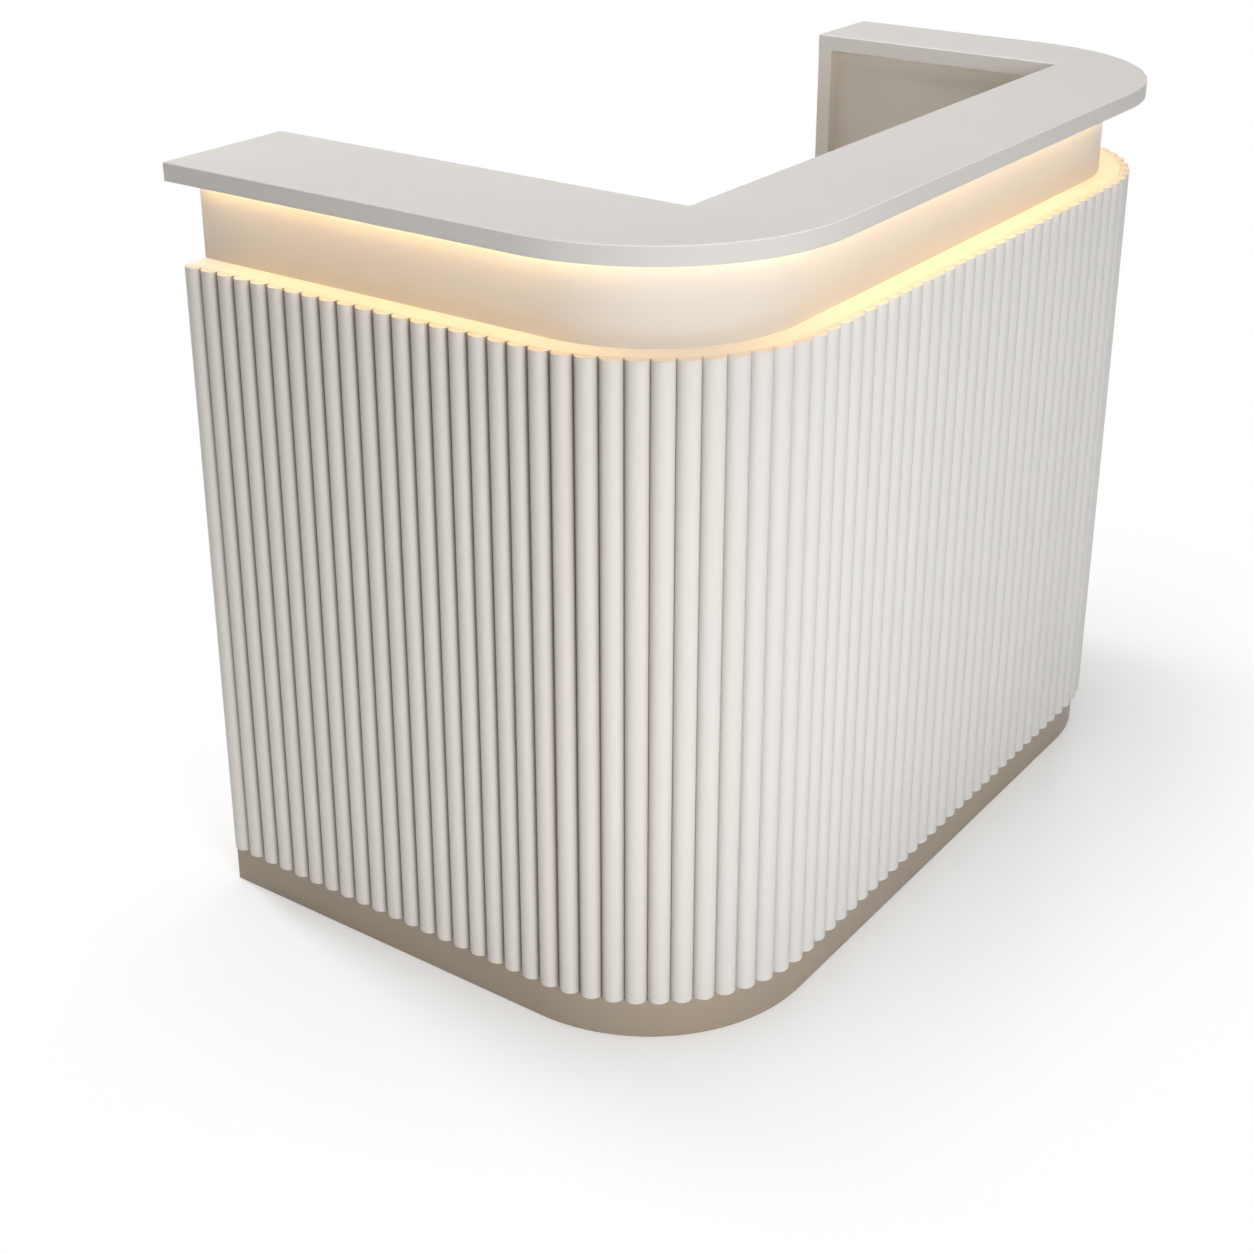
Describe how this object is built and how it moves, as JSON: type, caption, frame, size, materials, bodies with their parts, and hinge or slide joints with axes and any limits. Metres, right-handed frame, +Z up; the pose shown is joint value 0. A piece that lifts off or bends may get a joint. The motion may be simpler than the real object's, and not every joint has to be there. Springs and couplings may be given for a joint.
{
  "type": "reception desk",
  "caption": "U-shaped standing reception desk with rounded front corners, half-round fluted walls, a lit recess under a slab counter, a plinth, a staff worktop and a light switch.",
  "frame": {"origin": "middle of the footprint, on the floor", "axes": "+Z up, front towards -Y, the deeper return on -X"},
  "size_m": [1.4, 0.85, 1.1],
  "materials": {
    "counter_satin": "satin lacquer on board, warm light grey",
    "fluted_white": "satin off-white lacquer on half-round slats",
    "neck_satin": "satin off-white lacquer, washed by warm light",
    "ledge_satin": "satin off-white lacquer, washed by warm light",
    "plinth_taupe": "satin taupe lacquer",
    "lining_greige": "satin greige lacquer",
    "worktop_satin": "satin laminate",
    "raw_board": "bare fibreboard",
    "opal_bar": "opal silicone, lit warm white",
    "light_strip": "flexible circuit strip",
    "lead_sheath": "matt sheath",
    "case_plastic": "fine textured",
    "fitting_black": "moulded black",
    "zinc_steel": "zinc plated"
  },
  "bodies": {
    "desk": {"base_board": "raw_board", "batten_front": "raw_board", "batten_left": "raw_board", "batten_right": "raw_board", "cleat_front": "raw_board", "cleat_left": "raw_board", "cleat_right": "raw_board", "counter_screws": "zinc_steel", "countertop": "counter_satin", "end_board_left": "lining_greige", "end_board_right": "lining_greige", "flutes_corner_left": "fluted_white", "flutes_corner_right": "fluted_white", "flutes_front": "fluted_white", "flutes_left": "fluted_white", "flutes_right": "fluted_white", "foot_nuts": "zinc_steel", "led_diffuser": "opal_bar", "led_driver": "case_plastic", "led_lead": "lead_sheath", "led_strip": "light_strip", "ledge_board": "ledge_satin", "lining_front": "lining_greige", "lining_left": "lining_greige", "lining_right": "lining_greige", "mains_inlet": "fitting_black", "neck_corner_left": "neck_satin", "neck_corner_right": "neck_satin", "neck_front": "neck_satin", "neck_left": "neck_satin", "neck_right": "neck_satin", "plinth_corner_left": "plinth_taupe", "plinth_corner_right": "plinth_taupe", "plinth_end_left": "plinth_taupe", "plinth_end_right": "plinth_taupe", "plinth_front": "plinth_taupe", "plinth_inner_front": "plinth_taupe", "plinth_inner_left": "plinth_taupe", "plinth_inner_right": "plinth_taupe", "plinth_left": "plinth_taupe", "plinth_right": "plinth_taupe", "power_case": "case_plastic", "rib_front_left": "raw_board", "rib_front_right": "raw_board", "rib_left": "raw_board", "rib_right": "raw_board", "skin_corner_left": "raw_board", "skin_corner_right": "raw_board", "skin_front": "raw_board", "skin_left": "raw_board", "skin_right": "raw_board", "switch_frame": "fitting_black", "worktop": "worktop_satin", "worktop_screws": "zinc_steel"},
    "rocker": {"switch_rocker": "fitting_black"},
    "levelling_front_left": {"foot_front_left": "zinc_steel"},
    "levelling_rear_left": {"foot_rear_left": "zinc_steel"},
    "levelling_front_right": {"foot_front_right": "zinc_steel"},
    "levelling_rear_right": {"foot_rear_right": "zinc_steel"}
  },
  "joints": [
    {"name": "switch_rock", "type": "hinge", "parent": "desk", "child": "rocker", "pos_m": [0.43, -0.21, 0.6125], "axis": [-1, 0, 0], "range_deg": [0, 14]},
    {"name": "level_front_left", "type": "slide", "parent": "desk", "child": "levelling_front_left", "axis": [0, 0, -1], "range_m": [0, 0.02]},
    {"name": "level_rear_left", "type": "slide", "parent": "desk", "child": "levelling_rear_left", "axis": [0, 0, -1], "range_m": [0, 0.02]},
    {"name": "level_front_right", "type": "slide", "parent": "desk", "child": "levelling_front_right", "axis": [0, 0, -1], "range_m": [0, 0.02]},
    {"name": "level_rear_right", "type": "slide", "parent": "desk", "child": "levelling_rear_right", "axis": [0, 0, -1], "range_m": [0, 0.02]}
  ]
}
